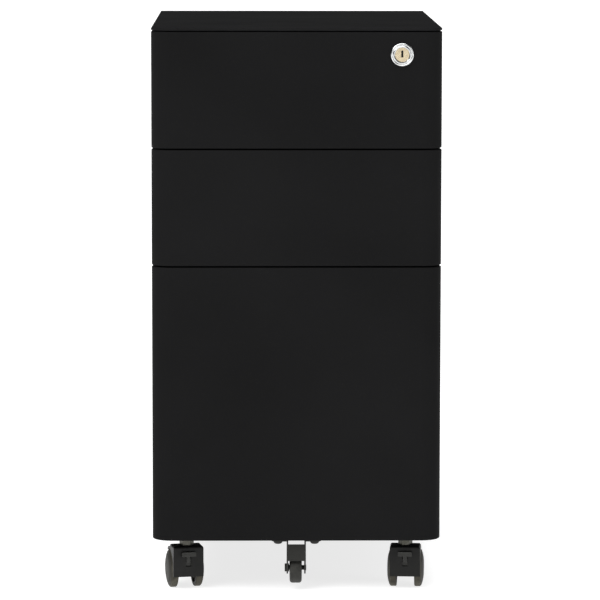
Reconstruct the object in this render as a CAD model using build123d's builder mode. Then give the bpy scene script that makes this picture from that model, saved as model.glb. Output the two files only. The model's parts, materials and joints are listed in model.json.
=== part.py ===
from build123d import *
from math import cos, radians, sin, sqrt
import os

# Rolling pedestal cabinet: a folded steel carcass on four twin-wheel casters, two
# box drawers and a file drawer on ball slides, a cam lock that lifts a lock bar,
# and an anti-tip wheel under the file drawer.
#
# X runs to the right seen from the front, Y from the front to the back, Z up.
# The origin is on the floor, under the middle of the cabinet. Lengths are in mm.

os.makedirs("parts", exist_ok=True)

# ---------------------------------------------------------------- driving sizes
width = 300.0
depth = 450.0
height = 590.0
sheet = 1.0                  # wall of the folded panels, fronts and drawer boxes
side_inset = 0.5             # side wall, in from the edge of the top panel
carcass_bottom = 54.0        # underside of the cabinet floor
back_inset = 1.0             # back panel, in from the rear edge
tray_height = 13.0           # upturned edges of the cabinet floor
flange_end_margin = 3.0      # between the ends of neighbouring folded flanges

top_sheet = 1.2
top_hem = 1.0                # folded edge under the front of the top panel
hem_width = 9.0
top_gap = 1.2                # between the top panel's hem and the first front
stiffener_drop = 12.0        # cross flange under the top panel

front_depth = 22.0           # pan depth of a drawer front
corner_radius = 20.0         # upright front corners
fold_radius = 1.2            # outer edges of the drawer fronts
front_gap = 1.5
front_bottom = 57.5          # lower edge of the file drawer's front
box_front_height = 120.0     # fronts of the two upper drawers
bottom_lip = 24.0            # folded lips round the back of a front
top_lip = 12.0

groove_width = 18.0          # finger groove down each side, behind the fronts
groove_depth = 12.0
groove_gap = 2.0             # between a closed front and the groove's floor
panel_bend = 1.6             # bend radius of the side panels

floor_clearance = 11.4       # drawer box above the lower edge of its front
box_headroom = 36.6          # box below the upper edge of its front, upper drawers
file_headroom = 49.7         # the same in the file drawer
box_back_clearance = 26.0    # between a drawer box and the back panel
box_flange = 6.0             # turned-in top edge of a drawer box
hanger_inset = 35.0          # hanging-file bars, in from the ends of the box

slide_space = 12.7           # between the carcass and a drawer box, each side
slide_setback = 21.0         # start of a slide behind the drawer front
slide_rear_margin = 29.0     # from the end of a slide to the back of the box
slide_wall = 1.2
slide_bend = 2.0
box_slide_height = 35.0
box_slide_rise = 30.0        # slide centre above the underside of a box drawer
box_slide_overlap = 90.0     # length still held when a box drawer is open
box_ball = 4.0
file_slide_height = 45.0
file_ball = 3.2
ball_clearance = 0.1
post_width = 33.0

lock_side_inset = 42.0       # lock axis from the right edge
lock_drop = 23.3             # lock axis below the upper edge of the top front
lock_body_diameter = 19.0
lock_plug_diameter = 15.0
lock_bezel_diameter = 24.0
lock_bezel = 2.8             # bezel, out from the drawer front
lock_throw_radius = 8.0      # cam axis to the pin that lifts the bar
lock_pin_diameter = 4.0
lock_pin_clearance = 0.4     # above and below the pin in the bar's fork
bar_thickness = 2.0
bar_width = 8.0
hook_height = 9.0
catch_height = 10.0
catch_reach = 8.0            # catch tab, out from the side of a drawer box

caster_side_inset = 35.0     # swivel axes from the side edges
caster_setback = 37.0        # swivel axes from the front and the rear edge
caster_trail = 13.0          # swivel axis to axle
caster_wheel_diameter = 40.0
caster_wheel_width = 9.8
wheel_gap = 18.8             # between the two wheels of a caster
hood_width = 32.0
hood_top = 46.9
hood_foot = 14.5             # lower edge of the hood's front
axle_diameter = 6.0
stem_diameter = 8.0
running_clearance = 0.05     # radial, in every turning fit

tip_setback = 11.0           # front of the anti-tip bracket behind the drawer front
tip_bracket_width = 20.0
tip_bracket_wall = 1.5
tip_wheel_diameter = 32.0
tip_wheel_width = 12.7
tip_wheel_offset = -0.5      # the wheel sits a little to one side in its bracket
tip_axle_height = 23.6
tip_axle_diameter = 5.0
tip_screw_x = 19.1

# --------------------------------------------------------------- derived places
front_y = -depth / 2
rear_y = depth / 2
lip_y = front_y + front_depth                     # back of every drawer front
wall_x = width / 2 - side_inset                   # outside of a side panel
wall_inner_x = wall_x - sheet
groove_floor_x = wall_x - groove_depth
groove_back_y = lip_y + groove_width
inner_wall_y = groove_back_y + panel_bend + sheet  # where the full inner width starts
slide_x = groove_floor_x - sheet                  # face that the slides bolt to
box_x = slide_x - slide_space                     # outside of a drawer box
carcass_top = height - top_sheet                  # upper edge of the side panels
back_y = rear_y - back_inset                      # outside of the back panel
back_inner_y = back_y - sheet
tray_front_y = lip_y + 1.0

box_back_y = back_inner_y - box_back_clearance
slide_front_y = lip_y + slide_setback
slide_back_y = box_back_y - slide_rear_margin
slide_length = slide_back_y - slide_front_y

front_top = carcass_top - top_hem - top_gap
top_drawer_z = front_top - box_front_height
middle_drawer_z = top_drawer_z - front_gap - box_front_height
file_front_height = middle_drawer_z - front_gap - front_bottom
box_height = box_front_height - floor_clearance - box_headroom
file_height = file_front_height - floor_clearance - file_headroom

# Drawer name: lower edge and height of the front, height of the box.
drawers = {
    "top": (top_drawer_z, box_front_height, box_height),
    "middle": (middle_drawer_z, box_front_height, box_height),
    "bottom": (front_bottom, file_front_height, file_height),
}


def box_bottom(name):
    """Underside of a drawer box."""
    return drawers[name][0] + floor_clearance


def box_top(name):
    """Top edge of a drawer box."""
    return box_bottom(name) + drawers[name][2]


# ---------------------------------------------------------------------- helpers
def save(builder, name):
    """Label a finished piece and write its STEP file."""
    builder.part.label = name
    export_step(builder.part, f"parts/{name}.step")


def block(x0, x1, y0, y1, z0, z1, mode=Mode.ADD):
    """A block given by its two corners, in the current part."""
    with Locations(((x0 + x1) / 2, (y0 + y1) / 2, (z0 + z1) / 2)):
        Box(abs(x1 - x0), abs(y1 - y0), abs(z1 - z0), mode=mode)


def rectangle(x0, x1, y0, y1, mode=Mode.ADD):
    """A rectangle given by its two corners, in the current sketch."""
    with Locations(((x0 + x1) / 2, (y0 + y1) / 2)):
        Rectangle(abs(x1 - x0), abs(y1 - y0), mode=mode)


def rounded_front(half_width, y0, y1, radius, mode=Mode.ADD):
    """A rectangle with two rounded front corners, in the current sketch."""
    with BuildSketch(mode=Mode.PRIVATE) as outline:
        rectangle(-half_width, half_width, y0, y1)
        fillet(outline.vertices().group_by(Axis.Y)[0], radius)
    add(outline.sketch, mode=mode)


def folded_sheet(points, bend, wall, side):
    """The section of a sheet folded along points, in the current sketch."""
    with BuildLine(mode=Mode.PRIVATE) as outline:
        FilletPolyline(*points, radius=bend)
        offset(amount=wall, side=side)
    make_face(outline.edges())


def section_at(y):
    """An upright sketch plane at y; extruding from it runs towards the front."""
    return Plane.XZ.offset(-y)


def round_rods(places, diameter, back, length, mode=Mode.ADD):
    """Rods along Y at (x, z) places, from their back end towards the front."""
    with BuildSketch(section_at(back)) as ends:
        with Locations(*places):
            Circle(diameter / 2)
    extrude(ends.sketch, amount=length, mode=mode)


# --------------------------------------------------------------------- top panel
stiffener_y = lip_y + groove_gap + 1.0
with BuildPart() as top_panel:
    with BuildSketch(Plane.XY.offset(carcass_top)):
        rounded_front(width / 2, front_y, rear_y, corner_radius)
    extrude(amount=top_sheet)
    fillet(top_panel.faces().sort_by(Axis.Z)[-1].edges(), top_sheet / 2)
    with BuildSketch(Plane.XY.offset(carcass_top - top_hem)):
        rounded_front(width / 2, front_y, lip_y, corner_radius)
        rounded_front(width / 2 - hem_width, front_y + hem_width, lip_y,
                      corner_radius - hem_width, mode=Mode.SUBTRACT)
    extrude(amount=top_hem)
    block(-slide_x, slide_x, stiffener_y, stiffener_y + sheet,
          carcass_top - stiffener_drop, carcass_top)
save(top_panel, "top_panel")

# ------------------------------------------------------------------- side panels
side_flange = 14.0           # turned in under the top panel
with BuildPart() as right_side_panel:
    with BuildSketch(Plane.XY.offset(carcass_bottom)):
        folded_sheet(
            [(wall_x, rear_y), (wall_x, groove_back_y), (groove_floor_x, groove_back_y),
             (groove_floor_x, lip_y + groove_gap)],
            panel_bend, sheet, Side.RIGHT)
    extrude(amount=carcass_top - carcass_bottom)
    block(wall_inner_x - side_flange, wall_inner_x, inner_wall_y, back_inner_y,
          carcass_top - sheet, carcass_top)
save(right_side_panel, "right_side_panel")

with BuildPart() as left_side_panel:
    mirror(right_side_panel.part, about=Plane.YZ)
save(left_side_panel, "left_side_panel")

# ------------------------------------------------------------------ cabinet floor
caster_x = width / 2 - caster_side_inset
swivel_front_y = front_y + caster_setback
swivel_rear_y = rear_y - caster_setback
swivel_places = [(x, y) for y in (swivel_front_y, swivel_rear_y) for x in (-caster_x, caster_x)]


def floor_outline(inset):
    """The cabinet floor seen from above, drawn in by inset, in the current sketch."""
    rectangle(inset - slide_x, slide_x - inset, tray_front_y + inset, back_inner_y - inset)
    rectangle(inset - wall_inner_x, wall_inner_x - inset, inner_wall_y + inset, back_inner_y - inset)


with BuildPart() as bottom_panel:
    with BuildSketch(Plane.XY.offset(carcass_bottom)):
        floor_outline(0)
    extrude(amount=tray_height)
    with BuildSketch(Plane.XY.offset(carcass_bottom + sheet)):
        floor_outline(sheet)
    extrude(amount=tray_height, mode=Mode.SUBTRACT)
    with BuildSketch(Plane.XY.offset(carcass_bottom)):
        with Locations(*swivel_places):
            Circle(stem_diameter / 2)
    extrude(amount=sheet, mode=Mode.SUBTRACT)
save(bottom_panel, "bottom_panel")

# --------------------------------------------------------------------- back panel
back_flange = 12.0
post_z0 = carcass_bottom + tray_height + flange_end_margin
post_z1 = carcass_top - sheet - flange_end_margin
with BuildPart() as back_panel:
    block(-wall_inner_x, wall_inner_x, back_inner_y, back_y, carcass_bottom, carcass_top)
    for side in (-1, 1):
        block(side * wall_inner_x, side * (wall_inner_x - sheet),
              back_inner_y - back_flange, back_inner_y, post_z0, post_z1)
save(back_panel, "back_panel")

# -------------------------------------------------------------------- slide posts
post_overrun = 5.0           # rear post, past the end of the slides
front_post_y = inner_wall_y
rear_post_y = slide_back_y - post_width + post_overrun
with BuildPart() as slide_posts:
    for side in (-1, 1):
        for y0 in (front_post_y, rear_post_y):
            y1 = y0 + post_width
            block(side * slide_x, side * wall_inner_x, y0, y1, post_z0, post_z1)
            block(side * (slide_x + sheet), side * wall_inner_x,
                  y0 + sheet, y1 - sheet, post_z0, post_z1, mode=Mode.SUBTRACT)
save(slide_posts, "slide_posts")

# ------------------------------------------------------------------------ rivets
# Blind rivets join each drawer box to the side lips of its front.
rivet_diameter = 3.2
rivet_head_diameter = 5.2
rivet_head = 1.2
rivet_clearance = 0.3        # head to the box's side wall and to the lip's edge
rivet_edge = 12.0            # first and last rivet from the box's bottom and top
rivet_x = box_x - sheet - rivet_head_diameter / 2 - rivet_clearance
lip_edge_x = rivet_x - rivet_head_diameter / 2 - rivet_clearance
rivet_rows = {"top": 2, "middle": 2, "bottom": 3}


def rivet_places(name):
    """Centres (x, z) of a drawer's rivets."""
    first = box_bottom(name) + rivet_edge
    pitch = (drawers[name][2] - 2 * rivet_edge) / (rivet_rows[name] - 1)
    return [(side * rivet_x, first + i * pitch) for side in (-1, 1) for i in range(rivet_rows[name])]


# ------------------------------------------------------------------ drawer fronts
lock_x = width / 2 - lock_side_inset
lock_z = front_top - lock_drop
lock_hole_clearance = 0.2
tip_web_y = front_y + tip_setback
tip_screw_y = tip_web_y + 1.0
tip_screw_diameter = 4.0
tip_screw_places = [(-tip_screw_x, tip_screw_y), (tip_screw_x, tip_screw_y)]


def drawer_front(name):
    """A pan-shaped front: a skin with rounded corners and lips folded in behind."""
    z0, front_height, _ = drawers[name]
    z1 = z0 + front_height
    with BuildPart() as front:
        with BuildSketch(Plane.XY.offset(z0)):
            rounded_front(width / 2, front_y, lip_y, corner_radius)
        extrude(amount=front_height)
        rims = front.faces().filter_by(Axis.Z).edges()
        fillet(rims.filter_by(lambda edge: edge.center().Y < lip_y - sheet / 2), fold_radius)
        with BuildSketch(Plane.XY.offset(z0 + sheet)):
            rounded_front(width / 2 - sheet, front_y + sheet, lip_y - sheet, corner_radius - sheet)
        extrude(amount=front_height - 2 * sheet, mode=Mode.SUBTRACT)
        block(-lip_edge_x, lip_edge_x, lip_y - sheet, lip_y, z0 + bottom_lip, z1 - top_lip,
              mode=Mode.SUBTRACT)
        round_rods(rivet_places(name), rivet_diameter, lip_y, sheet, mode=Mode.SUBTRACT)
        if name == "top":
            hole = lock_body_diameter + 2 * lock_hole_clearance
            round_rods([(lock_x, lock_z)], hole, front_y + sheet, sheet, mode=Mode.SUBTRACT)
        if name == "bottom":
            with BuildSketch(Plane.XY.offset(z0)):
                with Locations(*tip_screw_places):
                    Circle(tip_screw_diameter / 2)
            extrude(amount=sheet, mode=Mode.SUBTRACT)
    save(front, f"{name}_drawer_front")


# ------------------------------------------------------------------- drawer boxes
bar_outer_x = slide_x - 0.5                       # lock bar beside the groove's floor
bar_inner_x = bar_outer_x - bar_thickness
bar_front_y = lip_y + 4.0
bar_back_y = bar_front_y + bar_width
catch_clearance = 1.5                             # behind a raised hook
catch_y = bar_back_y + catch_clearance
catch_drop = 2.0                                  # below the top edge of a box


def catch_bottom(name):
    """Lower edge of the tab that the lock bar's hook catches."""
    return box_top(name) - catch_drop - catch_height


def drawer_box(name):
    """A folded tray with turned-in top edges and the lock's catch on its right."""
    z0 = box_bottom(name)
    z1 = box_top(name)
    with BuildPart() as box:
        block(-box_x, box_x, lip_y, box_back_y, z0, z1)
        fillet(box.faces().sort_by(Axis.Z)[0].edges(), fold_radius)
        block(sheet - box_x, box_x - sheet, lip_y + sheet, box_back_y - sheet,
              z0 + sheet, z1 - sheet, mode=Mode.SUBTRACT)
        block(box_flange - box_x, box_x - box_flange, lip_y + box_flange,
              box_back_y - box_flange, z1 - sheet, z1, mode=Mode.SUBTRACT)
        block(box_x - sheet / 2, box_x + catch_reach, catch_y, catch_y + 2 * sheet,
              catch_bottom(name), catch_bottom(name) + catch_height)
        round_rods(rivet_places(name), rivet_diameter, lip_y + sheet, sheet, mode=Mode.SUBTRACT)
    save(box, f"{name}_drawer_box")


def drawer_rivets(name):
    """The rivets of one drawer, with a head on each side of the two sheets."""
    places = rivet_places(name)
    with BuildPart() as rivets:
        round_rods(places, rivet_diameter, lip_y + sheet, 2 * sheet)
        round_rods(places, rivet_head_diameter, lip_y + sheet + rivet_head, rivet_head)
        round_rods(places, rivet_head_diameter, lip_y - sheet, rivet_head)
    save(rivets, f"{name}_drawer_rivets")


for drawer_name in drawers:
    drawer_front(drawer_name)
    drawer_box(drawer_name)
    drawer_rivets(drawer_name)

# -------------------------------------------------------------------- ball slides
# Members are channels, one inside the next, with rows of balls in a cage between
# their flanges. Sections are worked out inwards from the carcass.
outer_flange_reach = 9.2     # outer member, from the carcass face towards the box
inner_flange_reach = 7.4     # inner member, from the box towards the carcass
middle_flange_reach = 8.0    # intermediate member of the file slides
cage_gap = 0.3               # cage to the web that it runs along
cage_wall = 0.7
cage_arm = 1.2
cage_end_margin = 2.0
cage_hole_clearance = 0.1
ball_pitch = 14.0


def channels(z, half_height, web_x, flange_x):
    """A left and a right channel with webs at web_x, over the slide's length."""
    with BuildSketch(section_at(slide_back_y)) as sections:
        for side in (-1, 1):
            points = [(side * flange_x, z - half_height), (side * web_x, z - half_height),
                      (side * web_x, z + half_height), (side * flange_x, z + half_height)]
            inward = Side.LEFT if side * (web_x - flange_x) > 0 else Side.RIGHT
            folded_sheet(points, slide_bend, slide_wall, inward)
    extrude(sections.sketch, amount=slide_length)


def ball_cages(name, z, ball, race_z, web_x, start_y, length):
    """Left and right cages, running inside flanges at race_z and a web at web_x."""
    ball_z = race_z - ball_clearance - ball / 2
    outer_x = web_x - cage_gap
    arm_x = outer_x - cage_wall - ball - 2 * cage_arm
    ball_x = arm_x + cage_arm + ball / 2
    count = int((length - ball_pitch / 2) // ball_pitch)
    first_y = start_y + (length - (count - 1) * ball_pitch) / 2
    places = [
        (side * ball_x, first_y + i * ball_pitch, z + end * ball_z)
        for side in (-1, 1) for end in (-1, 1) for i in range(count)
    ]
    half_height = ball_z + cage_arm / 2
    with BuildPart() as cages:
        for side in (-1, 1):
            block(side * outer_x, side * arm_x, start_y, start_y + length,
                  z - half_height, z + half_height)
            block(side * (outer_x - cage_wall), side * arm_x, start_y, start_y + length,
                  z - half_height + cage_arm, z + half_height - cage_arm, mode=Mode.SUBTRACT)
        with Locations(*places):
            Cylinder(ball / 2 + cage_hole_clearance, 2 * cage_arm, mode=Mode.SUBTRACT)
            Sphere(ball / 2)
    save(cages, name)


box_race_z = box_slide_height / 2 - slide_wall
box_inner_half = box_race_z - 2 * ball_clearance - box_ball
box_travel = slide_length - box_slide_overlap
box_slide_levels = {name: box_bottom(name) + box_slide_rise for name in ("top", "middle")}

with BuildPart() as box_slide_outer_members:
    for level in box_slide_levels.values():
        channels(level, box_slide_height / 2, slide_x, slide_x - outer_flange_reach)
save(box_slide_outer_members, "box_slide_outer_members")

for drawer_name, level in box_slide_levels.items():
    with BuildPart() as box_slide_inner_members:
        channels(level, box_inner_half, box_x, box_x + inner_flange_reach)
    save(box_slide_inner_members, f"{drawer_name}_slide_inner_members")
    ball_cages(f"{drawer_name}_slide_ball_cages", level, box_ball, box_race_z, slide_x - slide_wall,
               slide_front_y + box_travel / 2 + cage_end_margin,
               box_slide_overlap - 2 * cage_end_margin)

# The file drawer's slides have an intermediate member and open to their full length.
file_slide_z = box_bottom("bottom") + file_height / 2
file_race_z = file_slide_height / 2 - slide_wall
file_middle_half = file_race_z - 2 * ball_clearance - file_ball
file_middle_race_z = file_middle_half - slide_wall
file_inner_half = file_middle_race_z - 2 * ball_clearance - file_ball
file_middle_x = slide_x - slide_wall - cage_wall - 2 * cage_gap
file_cage_y = slide_front_y + slide_length / 4 + cage_end_margin
file_cage_length = slide_length / 3

with BuildPart() as file_slide_outer_members:
    channels(file_slide_z, file_slide_height / 2, slide_x, slide_x - outer_flange_reach)
save(file_slide_outer_members, "file_slide_outer_members")

with BuildPart() as file_slide_middle_members:
    channels(file_slide_z, file_middle_half, file_middle_x, file_middle_x - middle_flange_reach)
save(file_slide_middle_members, "file_slide_middle_members")

with BuildPart() as file_slide_inner_members:
    channels(file_slide_z, file_inner_half, box_x, box_x + inner_flange_reach)
save(file_slide_inner_members, "file_slide_inner_members")

ball_cages("file_slide_outer_ball_cages", file_slide_z, file_ball, file_race_z,
           slide_x - slide_wall, file_cage_y, file_cage_length)
ball_cages("file_slide_inner_ball_cages", file_slide_z, file_ball, file_middle_race_z,
           file_middle_x - slide_wall, file_cage_y, file_cage_length)

# -------------------------------------------------------------- hanging-file bars
hanger_thickness = 3.0
hanger_depth = 12.0
hanger_ear = 2.5             # above the box's turned-in edge
hanger_clearance = 0.5
with BuildPart() as file_hanger_bars:
    for y in (lip_y + hanger_inset, box_back_y - hanger_inset):
        y0 = y - hanger_thickness / 2
        y1 = y + hanger_thickness / 2
        z1 = box_top("bottom")
        end_x = box_x - box_flange - hanger_clearance
        ear_x = box_x - hanger_clearance
        block(-ear_x, ear_x, y0, y1, z1, z1 + hanger_ear)
        block(-end_x, end_x, y0, y1, z1 - hanger_depth, z1)
save(file_hanger_bars, "file_hanger_bars")

# --------------------------------------------------------------------------- lock
lock_plane = Plane(origin=(lock_x, front_y, lock_z), x_dir=(1, 0, 0), z_dir=(0, 0, -1))
lock_axis = Axis((lock_x, front_y, lock_z), (0, 1, 0))
lock_bore = lock_plug_diameter / 2 + running_clearance
lock_barrel = front_depth - 3.0
bezel_radius = lock_bezel_diameter / 2
with BuildPart() as lock_housing:
    with BuildSketch(lock_plane):
        with BuildLine():
            Polyline((lock_bore, lock_bezel - 0.3), (lock_bore, -lock_barrel),
                     (lock_body_diameter / 2, -lock_barrel), (lock_body_diameter / 2, 0),
                     (bezel_radius, 0), (bezel_radius, 0.9))
            ThreePointArc((bezel_radius, 0.9), (bezel_radius - 0.4, 1.8), (bezel_radius - 1.3, 2.2))
            ThreePointArc((bezel_radius - 1.3, 2.2), (bezel_radius - 2.4, 1.9),
                          (lock_bore + 0.9, lock_bezel))
            Line((lock_bore + 0.9, lock_bezel), (lock_bore, lock_bezel - 0.3))
        make_face()
    revolve(axis=lock_axis)
save(lock_housing, "lock_housing")

lock_nut_flats = 24.0
lock_nut_height = 3.5
with BuildPart() as lock_nut:
    with BuildSketch(section_at(front_y + sheet + lock_nut_height)):
        with Locations((lock_x, lock_z)):
            RegularPolygon(lock_nut_flats / 2, 6, major_radius=False)
            Circle(lock_body_diameter / 2, mode=Mode.SUBTRACT)
    extrude(amount=lock_nut_height)
save(lock_nut, "lock_nut")

plug_recess = 1.2            # plug face behind the bezel's front
plug_tail = 7.0              # square end that carries the cam
keyway = (2.2, 7.0, 4.0)     # width, height and depth of the key slot
keyway_rise = 0.8
cam_sheet = 2.0
cam_front_y = lip_y + 0.5
cam_back_y = cam_front_y + cam_sheet
cam_screw_diameter = 3.0
cam_screw_length = 6.0
cam_screw_head_diameter = 9.0
cam_screw_head = 1.2
plug_front_y = front_y - lock_bezel + plug_recess
plug_back_y = front_y + lock_barrel - 1.0
pin_offset = lock_throw_radius / sqrt(2)
pin_place = (lock_x + pin_offset, lock_z - pin_offset)
with BuildPart() as lock_plug:
    round_rods([(lock_x, lock_z)], lock_plug_diameter, plug_back_y, plug_back_y - plug_front_y)
    fillet(lock_plug.faces().sort_by(Axis.Y)[0].edges(), 0.4)
    block(lock_x - plug_tail / 2, lock_x + plug_tail / 2, plug_back_y, cam_back_y,
          lock_z - plug_tail / 2, lock_z + plug_tail / 2)
    block(lock_x - keyway[0] / 2, lock_x + keyway[0] / 2, plug_front_y, plug_front_y + keyway[2],
          lock_z + keyway_rise - keyway[1] / 2, lock_z + keyway_rise + keyway[1] / 2,
          mode=Mode.SUBTRACT)
    round_rods([(lock_x, lock_z)], cam_screw_diameter, cam_back_y, cam_screw_length,
               mode=Mode.SUBTRACT)
save(lock_plug, "lock_plug")

cam_boss_radius = 7.0
cam_rim = 1.8                # sheet left round the pin
pin_reach = 5.0              # pin behind the cam
with BuildPart() as lock_cam:
    with BuildSketch(section_at(cam_back_y)):
        with Locations((lock_x, lock_z)):
            Circle(cam_boss_radius)
        with Locations(pin_place):
            Circle(lock_pin_diameter / 2 + cam_rim)
        make_hull()
        with Locations((lock_x, lock_z)):
            Rectangle(plug_tail, plug_tail, mode=Mode.SUBTRACT)
    extrude(amount=cam_sheet)
    round_rods([pin_place], lock_pin_diameter, cam_back_y + pin_reach, pin_reach)
save(lock_cam, "lock_cam")

with BuildPart() as lock_cam_screw:
    round_rods([(lock_x, lock_z)], cam_screw_head_diameter, cam_back_y + cam_screw_head, cam_screw_head)
    round_rods([(lock_x, lock_z)], cam_screw_diameter, cam_back_y, cam_screw_length)
save(lock_cam_screw, "lock_cam_screw")

# The bar hangs in two guides beside the right groove. Turning the lock lifts it,
# and its hooks then stand in front of the catches on the drawer boxes.
hook_clearance = 2.0         # hook below the catch when unlocked
fork_prong = 2.3
fork_half = lock_pin_diameter / 2 + lock_pin_clearance + fork_prong
fork_tip_x = lock_x + 3.0
fork_root_x = lock_x + lock_throw_radius + lock_pin_diameter / 2 + lock_pin_clearance
fork_z = pin_place[1]
hook_tops = {name: catch_bottom(name) - hook_clearance for name in drawers}
bar_bottom = hook_tops["bottom"] - hook_height - 6.0
with BuildPart() as lock_bar:
    block(bar_inner_x, bar_outer_x, bar_front_y, bar_back_y, bar_bottom, fork_z + fork_half)
    block(fork_tip_x, bar_outer_x, bar_front_y, bar_front_y + bar_thickness,
          fork_z - fork_half, fork_z + fork_half)
    block(fork_tip_x, fork_root_x, bar_front_y, bar_front_y + bar_thickness,
          fork_z - fork_half + fork_prong, fork_z + fork_half - fork_prong, mode=Mode.SUBTRACT)
    for hook_top in hook_tops.values():
        block(box_x + 2.0, bar_outer_x, bar_back_y - bar_thickness, bar_back_y,
              hook_top - hook_height, hook_top)
save(lock_bar, "lock_bar")

guide_height = 8.0
guide_clearance = 0.4
guide_wall = 1.0
guide_levels = [(hook_tops[a] + hook_tops[b]) / 2 for a, b in (("top", "middle"), ("middle", "bottom"))]
with BuildPart() as lock_bar_guides:
    for z in guide_levels:
        block(bar_inner_x - guide_clearance - guide_wall, slide_x,
              bar_front_y - guide_clearance - guide_wall, bar_back_y + guide_clearance + guide_wall,
              z - guide_height / 2, z + guide_height / 2)
        block(bar_inner_x - guide_clearance, slide_x,
              bar_front_y - guide_clearance, bar_back_y + guide_clearance,
              z - guide_height / 2, z + guide_height / 2, mode=Mode.SUBTRACT)
save(lock_bar_guides, "lock_bar_guides")

# ---------------------------------------------------------------- anti-tip wheel
tip_arm_x = tip_bracket_width / 2
tip_arm_inner_x = tip_arm_x - tip_bracket_wall
tip_axle_y = tip_web_y + tip_bracket_wall + tip_wheel_diameter / 2 + 1.5
tip_web_bottom = tip_axle_height + 10.4
tip_web_top = front_bottom - 6.0
tip_arm_radius = 6.5
tip_flange_width = 16.0
tip_flange_x = tip_screw_x + 6.5
tip_arm_length = 10.0        # along the drawer's underside
tip_flange_z = front_bottom - tip_bracket_wall


def tip_arm_plane(x):
    """A sketch plane at x whose first axis is Y and second axis is Z."""
    return Plane(origin=(x, 0, 0), x_dir=(0, 1, 0), z_dir=(1, 0, 0))


with BuildPart() as anti_tip_bracket:
    for x in (-tip_arm_x, tip_arm_inner_x):
        with BuildSketch(tip_arm_plane(x)):
            rectangle(tip_web_y, tip_web_y + tip_arm_length, tip_web_top, front_bottom)
            rectangle(tip_web_y, tip_web_y + tip_bracket_wall, tip_web_bottom, tip_web_top)
            with Locations((tip_axle_y, tip_axle_height)):
                Circle(tip_arm_radius)
            make_hull()
            with Locations((tip_axle_y, tip_axle_height)):
                Circle(tip_axle_diameter / 2, mode=Mode.SUBTRACT)
        extrude(amount=tip_bracket_wall)
    block(-tip_arm_x, tip_arm_x, tip_web_y, tip_web_y + tip_bracket_wall, tip_web_bottom, tip_web_top)
    for side in (-1, 1):
        with BuildSketch(Plane.XY.offset(tip_flange_z)):
            rectangle(side * tip_arm_inner_x, side * tip_flange_x,
                      tip_screw_y - tip_flange_width / 2, tip_screw_y + tip_flange_width / 2)
            fillet(vertices().group_by(Axis.X)[0 if side < 0 else -1], tip_flange_width / 4)
            with Locations((side * tip_screw_x, tip_screw_y)):
                Circle(tip_screw_diameter / 2, mode=Mode.SUBTRACT)
        extrude(amount=tip_bracket_wall)
save(anti_tip_bracket, "anti_tip_bracket")

tip_head_diameter = 9.6
tip_head_height = 3.6
tip_nut_flats = 7.0
tip_nut_height = 3.2
tip_screw_length = 7.0
with BuildPart() as anti_tip_screws:
    with BuildSketch(Plane.XY.offset(tip_flange_z)):
        with Locations(*tip_screw_places):
            Circle(tip_head_diameter / 2)
    extrude(amount=-tip_head_height)
    fillet(anti_tip_screws.faces().group_by(Axis.Z)[0].edges(), tip_head_height * 0.8)
    with BuildSketch(Plane.XY.offset(tip_flange_z)):
        with Locations(*tip_screw_places):
            Circle(tip_screw_diameter / 2)
    extrude(amount=tip_screw_length)
save(anti_tip_screws, "anti_tip_screws")

with BuildPart() as anti_tip_nuts:
    with BuildSketch(Plane.XY.offset(front_bottom + sheet)):
        with Locations(*tip_screw_places):
            RegularPolygon(tip_nut_flats / 2, 6, major_radius=False)
            Circle(tip_screw_diameter / 2, mode=Mode.SUBTRACT)
    extrude(amount=tip_nut_height)
save(anti_tip_nuts, "anti_tip_nuts")

tip_axle_head_diameter = 8.5
tip_axle_head = 2.0
tip_rivet_end = 0.6
tip_side_clearance = 0.5
tip_wheel_x0 = tip_wheel_offset - tip_wheel_width / 2
tip_wheel_x1 = tip_wheel_offset + tip_wheel_width / 2
with BuildPart() as anti_tip_axle:
    for x0, x1, diameter in (
        (-tip_arm_x - tip_axle_head, -tip_arm_x, tip_axle_head_diameter),
        (-tip_arm_x, tip_arm_x, tip_axle_diameter),
        (-tip_arm_inner_x, tip_wheel_x0 - tip_side_clearance, tip_axle_head_diameter),
        (tip_arm_x, tip_arm_x + tip_rivet_end, tip_axle_diameter + 1.0),
    ):
        with BuildSketch(tip_arm_plane(x0)):
            with Locations((tip_axle_y, tip_axle_height)):
                Circle(diameter / 2)
        extrude(amount=x1 - x0)
save(anti_tip_axle, "anti_tip_axle")

tip_tread_radius = 3.0
tip_hub_radius = 6.0
tip_web_recess = 1.6
with BuildPart() as anti_tip_wheel:
    with BuildSketch(tip_arm_plane(tip_wheel_x0)):
        with Locations((tip_axle_y, tip_axle_height)):
            Circle(tip_wheel_diameter / 2)
    extrude(amount=tip_wheel_width)
    fillet(anti_tip_wheel.edges().filter_by(GeomType.CIRCLE), tip_tread_radius)
    for x0, x1 in ((tip_wheel_x0, tip_wheel_x0 + tip_web_recess),
                   (tip_wheel_x1, tip_wheel_x1 - tip_web_recess)):
        with BuildSketch(tip_arm_plane(x0)):
            with Locations((tip_axle_y, tip_axle_height)):
                Circle(tip_wheel_diameter / 2 - tip_tread_radius - 1.5)
                Circle(tip_hub_radius, mode=Mode.SUBTRACT)
        extrude(amount=x1 - x0, mode=Mode.SUBTRACT)
    with BuildSketch(tip_arm_plane(tip_wheel_x0)):
        with Locations((tip_axle_y, tip_axle_height)):
            Circle(tip_axle_diameter / 2 + running_clearance)
    extrude(amount=tip_wheel_width, mode=Mode.SUBTRACT)
save(anti_tip_wheel, "anti_tip_wheel")

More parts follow.
